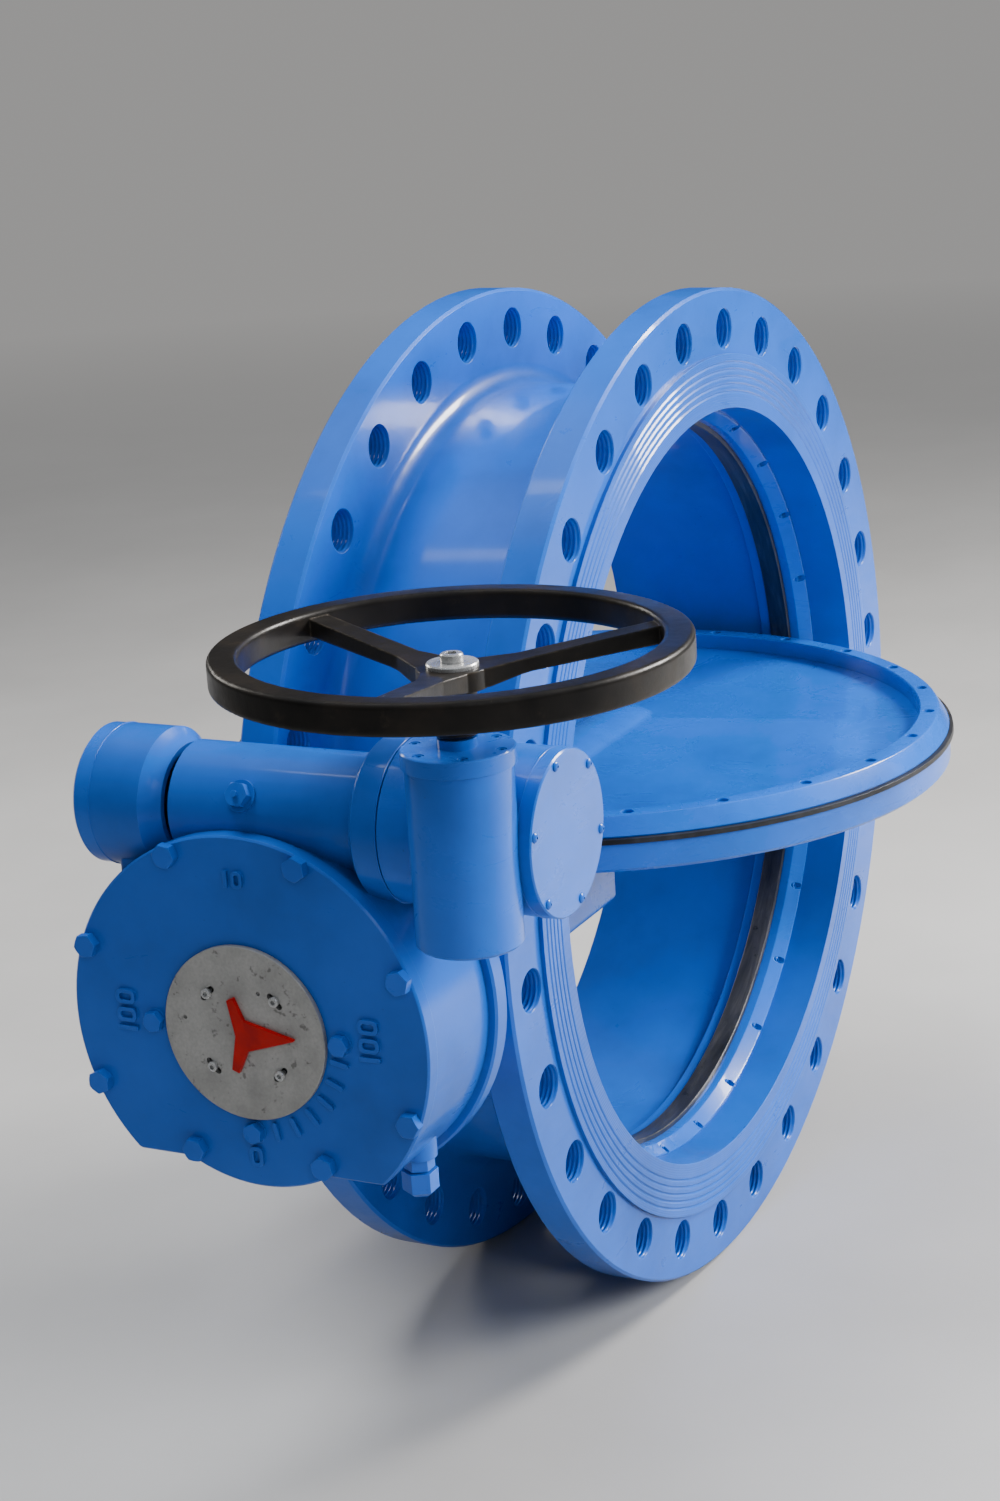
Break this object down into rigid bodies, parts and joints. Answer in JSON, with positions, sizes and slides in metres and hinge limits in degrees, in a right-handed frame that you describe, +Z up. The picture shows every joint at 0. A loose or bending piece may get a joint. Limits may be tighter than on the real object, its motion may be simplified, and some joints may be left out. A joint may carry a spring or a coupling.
{
  "type": "butterfly valve",
  "caption": "Double-flanged, double-eccentric butterfly valve with an offset disc, a two-stage worm gearbox, a dial with a pointer, and a handwheel.",
  "frame": {"origin": "on the pipe axis, midway between the two flange faces", "axes": "+X along the disc shaft away from the gear unit, +Y along the pipe from the front flange to the rear flange, +Z up"},
  "size_m": [1.667, 0.9259, 1.185],
  "materials": {
    "blue_paint": "gloss",
    "stainless_steel": "satin",
    "bronze": "satin",
    "black_rubber": "matte",
    "gasket_sheet": "matte",
    "black_enamel": "semi-gloss",
    "dial_steel": "satin",
    "red_paint": "gloss",
    "grey_iron": "satin",
    "bright_zinc": "gloss",
    "machined_steel": "satin"
  },
  "bodies": {
    "valve": {"cover_bolts": "blue_paint", "cover_gasket": "gasket_sheet", "cover_plugs": "blue_paint", "drive_bush": "bronze", "gearbox_cover": "blue_paint", "gearbox_gasket": "gasket_sheet", "gearbox_housing": "blue_paint", "gearbox_mounting_bolts": "blue_paint", "grease_plug": "blue_paint", "idle_bush": "bronze", "idle_cover": "blue_paint", "idle_cover_bolts": "blue_paint", "idle_cover_gasket": "gasket_sheet", "input_bearings": "machined_steel", "input_cap": "blue_paint", "input_cap_screws": "blue_paint", "input_seal": "black_rubber", "seal_carrier": "bronze", "seal_retainer": "machined_steel", "seat_clamp_ring": "blue_paint", "seat_ring": "stainless_steel", "seat_ring_screws": "blue_paint", "second_cover_screws": "blue_paint", "second_stage_cover": "blue_paint", "second_stage_housing": "blue_paint", "second_stage_screws": "machined_steel", "shaft_o_rings": "black_rubber", "stop_lock_nut": "blue_paint", "stop_screw": "blue_paint", "thrust_rings": "bronze", "valve_body": "blue_paint", "wheel_bushes": "bronze", "wheel_seal": "black_rubber", "worm_bearings": "machined_steel", "worm_cap_screws": "blue_paint", "worm_end_cap": "blue_paint"},
    "disc_assembly": {"disc": "blue_paint", "disc_clamp_ring": "blue_paint", "disc_seal": "black_rubber", "disc_clamp_screws": "blue_paint", "drive_shaft": "stainless_steel", "idle_shaft": "stainless_steel", "disc_pins": "stainless_steel", "shaft_key": "machined_steel", "worm_wheel": "grey_iron", "indicator_plate": "dial_steel", "indicator_screws": "bright_zinc", "indicator_arrow": "red_paint"},
    "worm_assembly": {"worm": "machined_steel", "worm_key": "machined_steel", "second_stage_wheel": "bronze"},
    "input_assembly": {"input_shaft": "machined_steel", "handwheel": "black_enamel", "handwheel_key": "machined_steel", "handwheel_washer": "bright_zinc", "handwheel_bolt": "bright_zinc"}
  },
  "joints": [
    {"name": "handwheel_turn", "type": "hinge", "parent": "valve", "child": "input_assembly", "pos_m": [-0.857, -0.26, 0.39], "axis": [0, 0, -1], "range_deg": [0, 84150]},
    {"name": "worm_turn", "type": "hinge", "parent": "valve", "child": "worm_assembly", "pos_m": [-0.765, 0, 0.197], "axis": [0, 1, 0], "range_deg": [0, 4950]},
    {"name": "disc_swing", "type": "hinge", "parent": "valve", "child": "disc_assembly", "pos_m": [0, 0, -0.01], "axis": [1, 0, 0], "range_deg": [0, 90]}
  ],
  "couplings": [
    {"joint": "worm_turn", "follows": "handwheel_turn", "ratio": 0.058824},
    {"joint": "disc_swing", "follows": "handwheel_turn", "ratio": 0.0010695}
  ]
}
